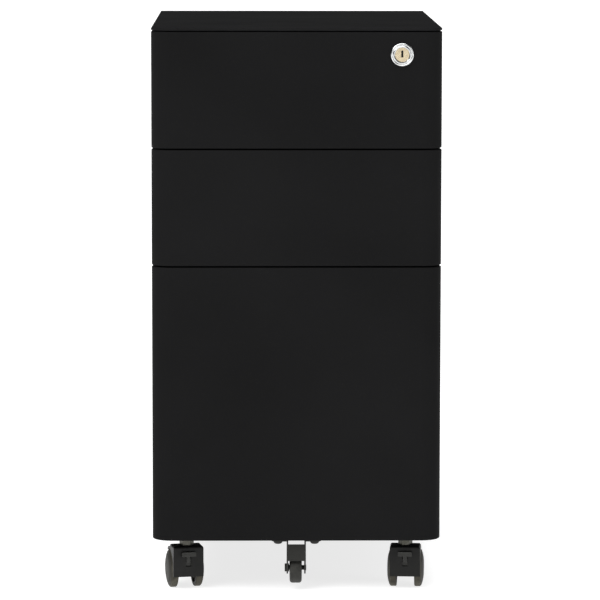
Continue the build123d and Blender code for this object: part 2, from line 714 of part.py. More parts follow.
# ------------------------------------------------------------------ caster stems
stem_collar_flats = 13.0
stem_gap = 0.4               # collar above the hood
stem_foot = 31.0             # lower end of the pin that the hood turns on
backing_plate = 2.0
backing_side_clearance = 0.5  # plate to the upturned edge of the cabinet floor
backing_width = 2 * (slide_x - sheet - backing_side_clearance - caster_x)
backing_depth = 24.0
stem_nut_height = 6.5
stem_thread_end = 2.0        # thread above its nut
plate_z = carcass_bottom + sheet
nut_z = plate_z + backing_plate


def stem_rounds(z0, z1, mode=Mode.ADD):
    """The four stems' round section between two heights, in the current part."""
    with BuildSketch(Plane.XY.offset(z0)) as ends:
        with Locations(*swivel_places):
            Circle(stem_diameter / 2)
    extrude(ends.sketch, amount=z1 - z0, mode=mode)


with BuildPart() as caster_stems:
    stem_rounds(stem_foot, nut_z + stem_nut_height + stem_thread_end)
    with BuildSketch(Plane.XY.offset(hood_top + stem_gap)):
        with Locations(*swivel_places):
            RegularPolygon(stem_collar_flats / 2, 6, major_radius=False)
    extrude(amount=carcass_bottom - hood_top - stem_gap)
save(caster_stems, "caster_stems")

with BuildPart() as caster_backing_plates:
    for x, y in swivel_places:
        block(x - backing_width / 2, x + backing_width / 2, y - backing_depth / 2,
              y + backing_depth / 2, plate_z, nut_z)
    stem_rounds(plate_z, nut_z, mode=Mode.SUBTRACT)
save(caster_backing_plates, "caster_backing_plates")

with BuildPart() as caster_nuts:
    with BuildSketch(Plane.XY.offset(nut_z)):
        with Locations(*swivel_places):
            RegularPolygon(stem_collar_flats / 2, 6, major_radius=False)
            Circle(stem_diameter / 2, mode=Mode.SUBTRACT)
    extrude(amount=stem_nut_height)
save(caster_nuts, "caster_nuts")

# ------------------------------------------------------------------------ casters
# Each caster is drawn in its own upright side plane, with the first axis running
# back from the swivel and the second one up. Its wheels trail behind the swivel.
wheel_radius = caster_wheel_diameter / 2
wheel_inner = wheel_gap / 2
wheel_outer = wheel_inner + caster_wheel_width
core_half = wheel_inner - 0.75       # hood's core, clear of the wheels
fender_inner = wheel_radius + 1.0
fender_outer = fender_inner + 2.2
hood_front = -11.0
hood_block_back = 10.0
fender_back = caster_trail + 10.9
hood_edge_radius = 2.5
axle_boss_radius = 7.5
axle_end_wall = 1.2          # of a wheel, over the end of the axle

slot_half = 2.8              # brake lever's slot in the hood
slot_z = (25.3, 41.5)
slot_back = -5.6
shoe_half = 12.0
shoe_z = (26.0, 29.6)
shoe_depth = (-9.2, -7.9)
lever_half = 2.1
lever_back = -6.4
lever_front = -10.4
lever_pivot = (-8.4, 32.0)
lever_pivot_radius = 1.3
lever_pivot_half = 4.6
pedal_half = 7.25
pedal_z = (36.5, 40.7)
pedal_depth = (-14.4, -11.6)
lever_clearance = 0.4


def caster_planes(place, heading):
    """A caster's side plane and the plane across it, for a heading in degrees."""
    across = (cos(radians(heading)), sin(radians(heading)), 0)
    back = (-sin(radians(heading)), cos(radians(heading)), 0)
    side_plane = Plane(origin=(place[0], place[1], 0), x_dir=back, z_dir=across)
    axle = side_plane.from_local_coords(Vector(caster_trail, wheel_radius, 0))
    return side_plane, Plane(origin=axle, x_dir=across, z_dir=-Vector(*back))


def caster_hood(side_plane, braked):
    """The moulded hood: fender, swivel block and the core between the wheels."""
    axle_point = (caster_trail, wheel_radius)
    with BuildPart() as hood:
        with BuildSketch(side_plane):
            rectangle(hood_front, fender_back, wheel_radius, wheel_radius + fender_outer)
            with Locations(axle_point):
                Circle(fender_outer, mode=Mode.INTERSECT)
            rectangle(hood_front, hood_block_back, hood_foot, hood_top)
        extrude(amount=hood_width / 2, both=True)
        fillet(hood.faces().sort_by(Axis.Z)[-1].edges(), hood_edge_radius)
        for side in (-1, 1):
            with BuildSketch(side_plane.offset(side * core_half)):
                with Locations(axle_point):
                    Circle(fender_inner)
            extrude(amount=side * hood_width, mode=Mode.SUBTRACT)
        with BuildSketch(side_plane):
            with Locations(axle_point):
                Circle(axle_boss_radius)
        extrude(amount=core_half, both=True)
        with BuildSketch(side_plane):
            with Locations(axle_point):
                Circle(axle_diameter / 2)
        extrude(amount=hood_width, both=True, mode=Mode.SUBTRACT)
        with BuildSketch(Plane.XY.offset(stem_foot - lever_clearance)):
            with Locations((side_plane.origin.X, side_plane.origin.Y)):
                Circle(stem_diameter / 2 + running_clearance)
        extrude(amount=height, mode=Mode.SUBTRACT)
        if braked:
            for half, x0, z0, z1 in (
                (slot_half, hood_front, *slot_z),
                (shoe_half + lever_clearance, shoe_depth[0] - lever_clearance,
                 slot_z[0], shoe_z[1] + 2 * lever_clearance),
            ):
                with BuildSketch(side_plane):
                    rectangle(x0, slot_back, z0, z1)
                extrude(amount=half, both=True, mode=Mode.SUBTRACT)
            with BuildSketch(side_plane):
                with Locations(lever_pivot):
                    Circle(lever_pivot_radius + running_clearance)
            extrude(amount=lever_pivot_half + lever_clearance, both=True, mode=Mode.SUBTRACT)
    return hood


def brake_pedal(side_plane):
    """A T-shaped lever with its pivot pins and the shoe that presses on the treads."""
    with BuildPart() as pedal:
        for half, (x0, x1), (z0, z1) in (
            (lever_half, (lever_front, lever_back), (shoe_z[1], pedal_z[1])),
            (lever_half, shoe_depth, (shoe_z[0], pedal_z[0])),
            (lever_half, (pedal_depth[0], lever_front), pedal_z),
            (pedal_half, pedal_depth, pedal_z),
            (shoe_half, shoe_depth, shoe_z),
        ):
            with BuildSketch(side_plane):
                rectangle(x0, x1, z0, z1)
            extrude(amount=half, both=True)
        with BuildSketch(side_plane):
            with Locations(lever_pivot):
                Circle(lever_pivot_radius)
        extrude(amount=lever_pivot_half, both=True)
    return pedal


def caster_axle(side_plane):
    """The pin through the hood's core and into both wheels."""
    with BuildPart() as axle:
        with BuildSketch(side_plane):
            with Locations((caster_trail, wheel_radius)):
                Circle(axle_diameter / 2)
        extrude(amount=wheel_outer - axle_end_wall - lever_clearance, both=True)
    return axle


def caster_wheel(across_plane):
    """The wheel on the caster's right: a domed disc with a hollow inner face."""
    bore = axle_diameter / 2 + running_clearance
    rim_x = wheel_outer - 3.0
    hub = 6.5
    with BuildPart() as wheel:
        with BuildSketch(across_plane):
            with BuildLine():
                Polyline((rim_x, wheel_radius), (wheel_inner, wheel_radius), (wheel_inner, 16.0),
                         (wheel_inner + 3.5, 15.0), (wheel_inner + 3.5, hub), (wheel_inner, hub),
                         (wheel_inner, bore), (wheel_outer - axle_end_wall, bore),
                         (wheel_outer - axle_end_wall, 0), (wheel_outer, 0), (wheel_outer, hub))
                ThreePointArc((wheel_outer, hub), (wheel_outer - 0.9, 14.0), (rim_x, wheel_radius))
            make_face()
            tread_corners = vertices().filter_by(
                lambda corner: abs(across_plane.to_local_coords(corner.center()).Y - wheel_radius) < 0.01)
            fillet(tread_corners, 1.2)
        revolve(axis=Axis(across_plane.origin, across_plane.x_dir))
    return wheel


# Caster name: swivel place, heading at rest in degrees, brake or not.
casters = {
    "caster_front_left": (swivel_places[0], 11.5, True),
    "caster_front_right": (swivel_places[1], -4.5, True),
    "caster_rear_left": (swivel_places[2], -14.0, False),
    "caster_rear_right": (swivel_places[3], 9.0, False),
}
for caster_name, (swivel_place, caster_heading, has_brake) in casters.items():
    side_of, across_of = caster_planes(swivel_place, caster_heading)
    save(caster_hood(side_of, has_brake), f"{caster_name}_hood")
    save(caster_axle(side_of), f"{caster_name}_axle")
    right_wheel = caster_wheel(across_of)
    save(right_wheel, f"{caster_name}_wheel_right")
    with BuildPart() as left_wheel:
        mirror(right_wheel.part, about=side_of)
    save(left_wheel, f"{caster_name}_wheel_left")
    if has_brake:
        save(brake_pedal(side_of), f"{caster_name}_brake_pedal")
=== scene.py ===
"""Looks of the rolling pedestal cabinet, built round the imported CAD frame. Metres."""

import json
from math import cos, pi, radians, sin

import bmesh
import bpy
from mathutils import Matrix, Vector


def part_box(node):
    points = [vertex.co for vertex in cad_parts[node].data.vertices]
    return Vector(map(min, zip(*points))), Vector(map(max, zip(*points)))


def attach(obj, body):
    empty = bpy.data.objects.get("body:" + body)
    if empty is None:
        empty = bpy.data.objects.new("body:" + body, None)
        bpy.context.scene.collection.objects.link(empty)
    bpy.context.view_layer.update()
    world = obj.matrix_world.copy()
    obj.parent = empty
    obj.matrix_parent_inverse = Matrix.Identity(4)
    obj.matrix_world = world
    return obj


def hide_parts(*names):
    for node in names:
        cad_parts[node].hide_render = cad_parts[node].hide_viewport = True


MM = 0.001

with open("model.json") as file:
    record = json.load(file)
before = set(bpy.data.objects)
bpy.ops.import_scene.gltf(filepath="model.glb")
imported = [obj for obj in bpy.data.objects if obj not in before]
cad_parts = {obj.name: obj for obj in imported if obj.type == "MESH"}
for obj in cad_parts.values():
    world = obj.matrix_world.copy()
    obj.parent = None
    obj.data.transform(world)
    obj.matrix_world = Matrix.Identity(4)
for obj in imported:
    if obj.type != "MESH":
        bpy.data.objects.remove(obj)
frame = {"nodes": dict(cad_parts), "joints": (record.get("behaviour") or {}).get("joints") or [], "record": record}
NODES = frame["nodes"]
SLOTS = {part["node"]: part["material_slot"] for part in frame["record"]["subparts"]}
BODIES = frame["record"]["behaviour"]["bodies"]
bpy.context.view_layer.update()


# ------------------------------------------------------------- material helpers
class Graph:
    """A material's node tree with short calls for the nodes used here."""

    def __init__(self, name):
        self.material = bpy.data.materials.new(name)
        self.material.use_nodes = True
        self.tree = self.material.node_tree
        self.shader = self.tree.nodes["Principled BSDF"]
        self.place = self.node("ShaderNodeTexCoord").outputs["Object"]

    def node(self, kind, **settings):
        made = self.tree.nodes.new(kind)
        for key, value in settings.items():
            setattr(made, key, value)
        return made

    def link(self, source, target):
        self.tree.links.new(source, target)

    def feed(self, socket, value):
        """Sets a socket to a number or a row of numbers, or links an output to it."""
        if isinstance(value, bpy.types.NodeSocket):
            self.link(value, socket)
        else:
            socket.default_value = value

    def feed_color(self, socket, value):
        """Sets a socket to a red, green and blue colour, or links an output to it."""
        if isinstance(value, bpy.types.NodeSocket):
            self.feed(socket, value)
        else:
            self.feed(socket, (*value, 1))

    def noise(self, scale, detail=4.0, roughness=0.55, stretch=(1, 1, 1), distortion=0.0):
        """Noise with features about 1/scale metres long. A stretch below 1 lengthens them."""
        mapping = self.node("ShaderNodeMapping")
        mapping.inputs["Scale"].default_value = stretch
        self.link(self.place, mapping.inputs["Vector"])
        noise = self.node("ShaderNodeTexNoise")
        self.link(mapping.outputs["Vector"], noise.inputs["Vector"])
        noise.inputs["Scale"].default_value = scale
        noise.inputs["Detail"].default_value = detail
        noise.inputs["Roughness"].default_value = roughness
        noise.inputs["Distortion"].default_value = distortion
        return noise.outputs["Fac"]

    def cells(self, scale, feature="F1"):
        """Distance to the nearest of scattered points."""
        cells = self.node("ShaderNodeTexVoronoi", feature=feature)
        self.link(self.place, cells.inputs["Vector"])
        cells.inputs["Scale"].default_value = scale
        return cells.outputs["Distance"]

    def ramp(self, value, low, high, start=0.0, end=1.0):
        """Takes value from low..high to start..end, and no further."""
        scaled = self.node("ShaderNodeMapRange")
        self.feed(scaled.inputs["Value"], value)
        scaled.inputs["From Min"].default_value = low
        scaled.inputs["From Max"].default_value = high
        scaled.inputs["To Min"].default_value = start
        scaled.inputs["To Max"].default_value = end
        return scaled.outputs["Result"]

    def math(self, operation, a, b=0.0):
        made = self.node("ShaderNodeMath", operation=operation)
        self.feed(made.inputs[0], a)
        self.feed(made.inputs[1], b)
        return made.outputs[0]

    def mix(self, share, a, b):
        """Mixes two colours by share."""
        made = self.node("ShaderNodeMix", data_type="RGBA")
        self.feed(made.inputs["Factor"], share)
        self.feed_color(made.inputs["A"], a)
        self.feed_color(made.inputs["B"], b)
        return made.outputs["Result"]

    def bump(self, height, distance, strength=1.0, under=None):
        """A bump of the given depth in metres, on top of another one."""
        made = self.node("ShaderNodeBump")
        made.inputs["Distance"].default_value = distance
        made.inputs["Strength"].default_value = strength
        self.link(height, made.inputs["Height"])
        if under is not None:
            self.link(under, made.inputs["Normal"])
        return made.outputs["Normal"]

    def edge_wear(self, radius, low, high):
        """1 on edges and 0 on flats, from the cosine of the bevel normal's turn."""
        bevel = self.node("ShaderNodeBevel", samples=4)
        bevel.inputs["Radius"].default_value = radius
        geometry = self.node("ShaderNodeNewGeometry")
        dot = self.node("ShaderNodeVectorMath", operation="DOT_PRODUCT")
        self.link(bevel.outputs["Normal"], dot.inputs[0])
        self.link(geometry.outputs["True Normal"], dot.inputs[1])
        return self.ramp(dot.outputs["Value"], high, low)

    def finish(self, color, roughness, metallic=0.0, normal=None, **fixed):
        """Connects the shader's main inputs; fixed ones are plain numbers."""
        inputs = self.shader.inputs
        self.feed_color(inputs["Base Color"], color)
        self.feed(inputs["Roughness"], roughness)
        self.feed(inputs["Metallic"], metallic)
        if normal is not None:
            self.link(normal, inputs["Normal"])
        for name, value in fixed.items():
            inputs[name.replace("_", " ")].default_value = value
        return self.material


# -------------------------------------------------------------------- materials
PAINT_RUB = 0.8 * MM                 # how far in from an edge paint is rubbed
PLASTIC_RUB = 0.6 * MM
RUBBED_PAINT = (0.05, 0.05, 0.052)
DULL_ZINC = (0.33, 0.32, 0.30)
FLOOR_DUST = (0.16, 0.145, 0.12)
PEEL_DEPTH = 0.06 * MM               # slow waves in powder coat
PEBBLE_DEPTH = 0.05 * MM
DRAW_LINE_DEPTH = 0.02 * MM
SCRATCH_DEPTH = 0.01 * MM
PORE_DEPTH = 0.04 * MM
FLOW_DEPTH = 0.08 * MM
PLASTIC_SHINE = 0.2


def powder_coat(name, dark, light, gloss, shine):
    """Fine-textured powder coat: pebbled bump, faint clouding, rubbed edges and a few scuffs."""
    g = Graph(name)
    clouds = g.noise(5, detail=3)
    grain = g.noise(1100, detail=2)
    color = g.mix(g.ramp(clouds, 0.3, 0.7), dark, light)
    speck_share = g.ramp(grain, 0.62, 0.78, start=0.0, end=0.35)
    speck_color = [3 * c for c in light]
    color = g.mix(speck_share, color, speck_color)
    edges = g.edge_wear(PAINT_RUB, 0.75, 0.97)
    patches = g.ramp(g.noise(60, detail=5), 0.42, 0.66)
    rub_share = g.math("MULTIPLY", g.math("MULTIPLY", edges, patches), 0.35)
    color = g.mix(rub_share, color, RUBBED_PAINT)
    streaks = g.noise(26, detail=6, roughness=0.7, stretch=(1, 1, 5), distortion=0.6)
    scuffs = g.ramp(streaks, 0.66, 0.74)
    smears = g.ramp(g.noise(9, detail=4), 0.35, 0.7, start=-0.05, end=0.06)
    roughness = g.ramp(grain, 0.3, 0.7, start=gloss - 0.05, end=gloss + 0.05)
    roughness = g.math("ADD", roughness, smears)
    roughness = g.math("SUBTRACT", roughness, g.math("MULTIPLY", scuffs, 0.10))
    peel = g.bump(g.noise(420, detail=2), PEEL_DEPTH)
    pebbles = g.bump(g.cells(1500, "SMOOTH_F1"), PEBBLE_DEPTH, under=peel)
    return g.finish(color, roughness, normal=pebbles, Specular_IOR_Level=shine)


def zinc_plate(name, tint, along):
    """Zinc-plated steel: spangle, draw lines along one axis and dull spots."""
    g = Graph(name)
    spangle = g.cells(260)
    lines = g.noise(1400, detail=3, stretch=along)
    dull = g.ramp(g.noise(45, detail=5), 0.5, 0.75)
    darker_tint = [0.82 * c for c in tint]
    color = g.mix(g.ramp(spangle, 0.0, 0.7), darker_tint, tint)
    color = g.mix(g.math("MULTIPLY", dull, 0.45), color, DULL_ZINC)
    roughness = g.ramp(lines, 0.3, 0.7, start=0.26, end=0.42)
    roughness = g.math("ADD", roughness, g.math("MULTIPLY", dull, 0.2))
    drawn = g.bump(lines, DRAW_LINE_DEPTH)
    return g.finish(color, roughness, metallic=1.0, normal=drawn)


def polished(name, tint, worn, gloss):
    """A bright metal with turning marks and fine scratches."""
    g = Graph(name)
    rings = g.noise(2500, detail=2, stretch=(1, 0.15, 1))
    streaks = g.noise(900, detail=6, stretch=(1, 1, 7), distortion=1.2)
    scratches = g.ramp(streaks, 0.62, 0.72)
    grime = g.ramp(g.noise(300, detail=4), 0.45, 0.75)
    color = g.mix(g.math("MULTIPLY", grime, 0.5), tint, worn)
    roughness = g.ramp(rings, 0.3, 0.7, start=gloss - 0.04, end=gloss + 0.06)
    roughness = g.math("ADD", roughness, g.math("MULTIPLY", scratches, 0.18))
    scratched = g.bump(scratches, SCRATCH_DEPTH, strength=0.6)
    return g.finish(color, roughness, metallic=1.0, normal=scratched)


def moulded(name, dark, light, gloss, rubbed, dust):
    """Moulded plastic: fine spark texture, flow clouding, rubbed edges and dust."""
    g = Graph(name)
    flow = g.noise(70, detail=4, distortion=0.8)
    spark = g.noise(1900, detail=3)
    color = g.mix(g.ramp(flow, 0.32, 0.68), dark, light)
    rub_share = g.math("MULTIPLY", g.edge_wear(PLASTIC_RUB, 0.7, 0.96), rubbed)
    rub_color = [min(1.0, 2.2 * c + 0.02) for c in light]
    color = g.mix(rub_share, color, rub_color)
    grit = g.ramp(g.noise(420, detail=6, roughness=0.75), 0.56, 0.74)
    dust_share = g.math("MULTIPLY", grit, dust)
    color = g.mix(dust_share, color, FLOOR_DUST)
    roughness = g.ramp(spark, 0.3, 0.7, start=gloss - 0.06, end=gloss + 0.08)
    roughness = g.math("ADD", roughness, g.math("MULTIPLY", dust_share, 0.25))
    pores = g.bump(spark, PORE_DEPTH)
    waves = g.bump(flow, FLOW_DEPTH, strength=0.5, under=pores)
    return g.finish(color, roughness, normal=waves, Specular_IOR_Level=PLASTIC_SHINE)


LENGTHWISE = (1, 0.05, 1)            # stretch of the draw lines, which run front to back
materials = {
    "carcass_paint": powder_coat(
        "carcass_paint", dark=(0.0078, 0.0078, 0.0081), light=(0.0100, 0.0100, 0.0104),
        gloss=0.62, shine=0.05),
    "front_paint": powder_coat(
        "front_paint", dark=(0.0077, 0.0077, 0.0079), light=(0.0099, 0.0099, 0.0102),
        gloss=0.62, shine=0.025),
    "bracket_paint": powder_coat(
        "bracket_paint", dark=(0.014, 0.014, 0.012), light=(0.020, 0.020, 0.0175),
        gloss=0.42, shine=0.22),
    "zinc_steel": zinc_plate("zinc_steel", (0.62, 0.63, 0.65), LENGTHWISE),
    "dark_steel": zinc_plate("dark_steel", (0.075, 0.074, 0.062), LENGTHWISE),
    "lock_chrome": polished(
        "lock_chrome", (0.64, 0.65, 0.65), worn=(0.30, 0.295, 0.28), gloss=0.17),
    "lock_brass": polished(
        "lock_brass", (0.80, 0.68, 0.47), worn=(0.45, 0.34, 0.20), gloss=0.24),
    "hood_plastic": moulded(
        "hood_plastic", dark=(0.0064, 0.0064, 0.0059), light=(0.0098, 0.0098, 0.0092),
        gloss=0.44, rubbed=0.45, dust=0.08),
    "pedal_plastic": moulded(
        "pedal_plastic", dark=(0.028, 0.028, 0.026), light=(0.040, 0.040, 0.037),
        gloss=0.36, rubbed=0.9, dust=0.08),
    "wheel_plastic": moulded(
        "wheel_plastic", dark=(0.0112, 0.0100, 0.0062), light=(0.0205, 0.0182, 0.0120),
        gloss=0.50, rubbed=0.5, dust=0.14),
    "tip_wheel_plastic": moulded(
        "tip_wheel_plastic", dark=(0.018, 0.018, 0.016), light=(0.034, 0.034, 0.030),
        gloss=0.5, rubbed=0.4, dust=0.35),
}
# The rolling surface of a caster wheel, dulled and dusty from the floor.
WORN_TREAD = moulded(
    "worn_tread", dark=(0.036, 0.033, 0.024), light=(0.085, 0.079, 0.060),
    gloss=0.62, rubbed=0.2, dust=0.55)


def dress(obj, material):
    """Gives an object one material in place of any it has."""
    obj.data.materials.clear()
    obj.data.materials.append(material)


for name, slot in SLOTS.items():
    dress(NODES[name], materials[slot])

# ----------------------------------------------------------------- soft edges
# Moulded levers and bent brackets have no sharp corners, so their edges get a small bevel.
SOFT_EDGES = {"brake_pedal": 0.7 * MM, "anti_tip_bracket": 0.2 * MM}
BEVEL_STEPS = 3
BEVEL_ANGLE = 40                     # degrees; edges that turn less stay as they are
CREASE_ANGLE = 32                    # degrees; edges that turn less are shaded smooth


def soften(obj, width):
    """Bevels the sharp edges of an object."""
    bevel = obj.modifiers.new("soft edges", "BEVEL")
    bevel.width = width
    bevel.segments = BEVEL_STEPS
    bevel.limit_method = "ANGLE"
    bevel.angle_limit = radians(BEVEL_ANGLE)
    bevel.harden_normals = True


def smooth(obj):
    """Shades round faces smooth and keeps the corners between them crisp."""
    mesh = obj.data
    mesh.shade_smooth()
    mesh.set_sharp_from_angle(angle=radians(CREASE_ANGLE))


for name, node in NODES.items():
    smooth(node)
    for ending, width in SOFT_EDGES.items():
        if name.endswith(ending):
            soften(node, width)

# --------------------------------------------------------------- mesh builders
def put_in_scene(name, bm, material, body):
    """Makes an object of a bmesh, in the row frame, and lets it ride on a body."""
    bmesh.ops.recalc_face_normals(bm, faces=bm.faces)
    mesh = bpy.data.meshes.new(name)
    bm.to_mesh(mesh)
    bm.free()
    obj = bpy.data.objects.new(name, mesh)
    bpy.context.scene.collection.objects.link(obj)
    dress(obj, material)
    smooth(obj)
    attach(obj, body)
    return obj


def axis_frame(centre, axis):
    """The matrix whose X runs along axis from centre."""
    across = Vector(axis).normalized()
    up = Vector((0, 0, 1))
    back = up.cross(across).normalized()
    turned = Matrix((across, back, across.cross(back))).transposed()
    return Matrix.Translation(centre) @ turned.to_4x4()


def lathe(bm, profile, place, segments):
    """Turns a closed outline of (along, radius) points about place's X axis.

    A point at radius 0 is a pole.
    """
    poles = {}
    for j, (x, r) in enumerate(profile):
        if r == 0:
            poles[j] = bm.verts.new(place @ Vector((x, 0, 0)))
    rings = []
    for step in range(segments):
        a = 2 * pi * step / segments
        ring = []
        for j, (x, r) in enumerate(profile):
            ring.append(poles.get(j) or bm.verts.new(place @ Vector((x, r * cos(a), r * sin(a)))))
        rings.append(ring)
    for i, ring in enumerate(rings):
        following = rings[(i + 1) % segments]
        for j in range(len(profile)):
            k = (j + 1) % len(profile)
            if j in poles and k in poles:
                continue
            corners = [ring[j], ring[k], following[k], following[j]]
            bm.faces.new(list(dict.fromkeys(corners)))


def arc(centre, radius, start, end, steps):
    """Points of an arc from start to end degrees, ends included."""
    angles = [radians(start + (end - start) * i / steps) for i in range(steps + 1)]
    return [(centre[0] + radius * cos(a), centre[1] + radius * sin(a)) for a in angles]


def slab(bm, place, low, high):
    """A box between two corners, in place's axes."""
    made = bmesh.ops.create_cube(bm, size=1.0)["verts"]
    middle = (Vector(low) + Vector(high)) / 2
    size = Vector(high) - Vector(low)
    for v in made:
        v.co = place @ (middle + Vector(a * b for a, b in zip(v.co, size)))


# --------------------------------------------------------------- caster wheels
BORE_RADIUS = 3.05 * MM
BORE_CHAMFER = 0.3 * MM
HUB_RADIUS = 6.5 * MM
HUB_RECESS = 3.5 * MM                # hollow inner face, seen between the two wheels
RECESS_RADIUS = 15.0 * MM
RECESS_CHAMFER = 1.0 * MM
END_WALL = 1.2 * MM
DOME = 3.0 * MM                      # tread edge behind the hub on the outer face
TREAD_CORNER = 1.2 * MM
CORNER_STEPS = 6
CORNER_END = 20                      # degrees; where the outer tread corner meets the dome
WHEEL_STEPS = 96
GROOVE_RADIUS = 14.6 * MM            # a fine groove round the outer face
GROOVE_HALF = 0.35 * MM
GROOVE_DEPTH = 0.45 * MM
RINGS_OUTSIDE_GROOVE = (18.6 * MM, 17.6 * MM, 16.4 * MM)
RINGS_INSIDE_GROOVE = (12.5 * MM, 10.5 * MM, 8.5 * MM)
HUB_RING_DEPTH = 0.3 * MM            # a ring sunk into the hub's outer face
HUB_RING_WIDTH = 1.0 * MM
SPOKES = 8
SPOKE_HALF = 0.6 * MM
SPOKE_SET = 0.8 * MM                 # spokes, back from the wheel's inner face
SPOKE_SUNK = 0.3 * MM                # how far a spoke's ends run into the wheel
TREAD_TURN = 0.8                     # a tread face's normal leans less than this along the axle


def wheel_outline(inner, outer, radius):
    """Half section of a caster wheel as (along, radius) points, from the axis round to the axis."""
    def dome(r):
        return outer - DOME * max(0.0, (r - HUB_RADIUS) / (radius - HUB_RADIUS)) ** 2

    rim = outer - DOME
    recess_floor = inner + HUB_RECESS
    points = [(outer - END_WALL, 0), (outer - END_WALL, BORE_RADIUS)]
    points += [(inner + BORE_CHAMFER, BORE_RADIUS), (inner, BORE_RADIUS + BORE_CHAMFER)]
    points += [(inner, HUB_RADIUS), (recess_floor, HUB_RADIUS)]
    points += [(recess_floor, RECESS_RADIUS), (inner, RECESS_RADIUS + RECESS_CHAMFER)]
    corner_radius = radius - TREAD_CORNER
    points += arc((inner + TREAD_CORNER, corner_radius), TREAD_CORNER, 180, 90, CORNER_STEPS)
    points += arc((rim - TREAD_CORNER, corner_radius), TREAD_CORNER, 90, CORNER_END, CORNER_STEPS)
    points += [(dome(r), r) for r in RINGS_OUTSIDE_GROOVE]
    groove_floor = dome(GROOVE_RADIUS) - GROOVE_DEPTH
    points += [(dome(GROOVE_RADIUS + GROOVE_HALF), GROOVE_RADIUS + GROOVE_HALF),
               (groove_floor, GROOVE_RADIUS + 0.5 * GROOVE_HALF),
               (groove_floor, GROOVE_RADIUS - 0.5 * GROOVE_HALF),
               (dome(GROOVE_RADIUS - GROOVE_HALF), GROOVE_RADIUS - GROOVE_HALF)]
    points += [(dome(r), r) for r in RINGS_INSIDE_GROOVE]
    ring_floor = outer - HUB_RING_DEPTH
    points += [(outer, HUB_RADIUS),
               (ring_floor, HUB_RADIUS - HUB_RING_DEPTH),
               (ring_floor, HUB_RADIUS - HUB_RING_WIDTH + HUB_RING_DEPTH),
               (outer, HUB_RADIUS - HUB_RING_WIDTH),
               (outer, 0)]
    return points


def caster_wheel(joint):
    """A wheel with a domed outer face, rounded tread corners and spokes in its hollow."""
    node = NODES[BODIES[joint["child"]][0]]
    centre = Vector(joint["pos_m"])
    outward = Vector(joint["axis"]) * (-1 if "left_roll" in joint["name"] else 1)
    reach = [(v.co - centre).dot(outward) for v in node.data.vertices]
    inner = min(reach)
    outer = max(reach)
    radius = centre.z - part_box(node.name)[0].z
    place = axis_frame(centre, outward)
    bm = bmesh.new()
    lathe(bm, wheel_outline(inner, outer, radius), place, WHEEL_STEPS)
    for i in range(SPOKES):
        turned = place @ Matrix.Rotation(2 * pi * (i + 0.5) / SPOKES, 4, "X")
        slab(bm, turned,
             (inner + SPOKE_SET, -SPOKE_HALF, HUB_RADIUS - SPOKE_SUNK),
             (inner + HUB_RECESS + SPOKE_SUNK, SPOKE_HALF, RECESS_RADIUS + SPOKE_SUNK))
    wheel = put_in_scene(joint["child"], bm, materials["wheel_plastic"], joint["child"])
    wheel.data.materials.append(WORN_TREAD)
    to_axle = place.inverted()
    for face in wheel.data.polygons:
        spot = to_axle @ face.center
        near_rim = Vector((0, spot.y, spot.z)).length > radius - TREAD_CORNER
        turned_out = abs((to_axle.to_3x3() @ face.normal).x)
        if near_rim and turned_out < TREAD_TURN:
            face.material_index = 1
    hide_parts(node.name)


for joint in frame["joints"]:
    if joint["name"].endswith("_roll"):
        caster_wheel(joint)

# --------------------------------------------------------------- brake pedals
PEDAL_TOP = 8.7 * MM                 # above the pivot
RIB_PLACES = (-5.9 * MM, -4.9 * MM, -3.9 * MM)       # along the pedal, from its pivot
RIB_HALF_LENGTH = 6.4 * MM
RIB_HALF_THICKNESS = 0.2 * MM
RIB_HEIGHT = 0.25 * MM
RIB_SUNK = 0.1 * MM


def pedal_ribs(joint):
    """Grip ribs moulded on top of a brake pedal."""
    place = axis_frame(Vector(joint["pos_m"]), joint["axis"])
    bm = bmesh.new()
    for along in RIB_PLACES:
        slab(bm, place,
             (-RIB_HALF_LENGTH, along - RIB_HALF_THICKNESS, PEDAL_TOP - RIB_SUNK),
             (RIB_HALF_LENGTH, along + RIB_HALF_THICKNESS, PEDAL_TOP + RIB_HEIGHT))
    slot = SLOTS[BODIES[joint["child"]][0]]
    put_in_scene(f"{joint['child']}_ribs", bm, materials[slot], joint["child"])


for joint in frame["joints"]:
    if joint["name"].endswith("_brake_tip"):
        pedal_ribs(joint)

# ----------------------------------------------------------------- spot welds
WELD_PITCH = 55.0 * MM
WELD_RADIUS = 2.6 * MM
WELD_EDGE = 6.0 * MM                 # weld centres, in from a panel's edge
WELD_SUNK = 0.05 * MM                # the mark's hidden foot, inside the panel
WELD_STEPS = 24
# A weld mark's height in millimetres at shares of its radius, from the rim to the middle.
WELD_DISH = ((0.02, 1.0), (0.14, 0.88), (0.12, 0.74), (0.03, 0.5), (0.02, 0.0))


def spot_welds(name, places, outward):
    """Shallow dished marks that spot welds leave under the paint."""
    outline = [(-WELD_SUNK, 0), (-WELD_SUNK, WELD_RADIUS)]
    outline += [(height * MM, share * WELD_RADIUS) for height, share in WELD_DISH]
    bm = bmesh.new()
    for spot in places:
        lathe(bm, outline, axis_frame(Vector(spot), outward), WELD_STEPS)
    put_in_scene(name, bm, materials["carcass_paint"], "carcass")


def column(low, high):
    """Heights of a column of welds between two heights."""
    count = int((high - low - 2 * WELD_EDGE) // WELD_PITCH) + 1
    margin = (high - low - (count - 1) * WELD_PITCH) / 2
    return [low + margin + i * WELD_PITCH for i in range(count)]


panel_low, panel_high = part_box("back_panel")
weld_places = []
for weld_x in (panel_low.x + WELD_EDGE, panel_high.x - WELD_EDGE):
    for weld_z in column(panel_low.z, panel_high.z):
        weld_places.append((weld_x, panel_high.y, weld_z))
spot_welds("back_spot_welds", weld_places, (0, 1, 0))

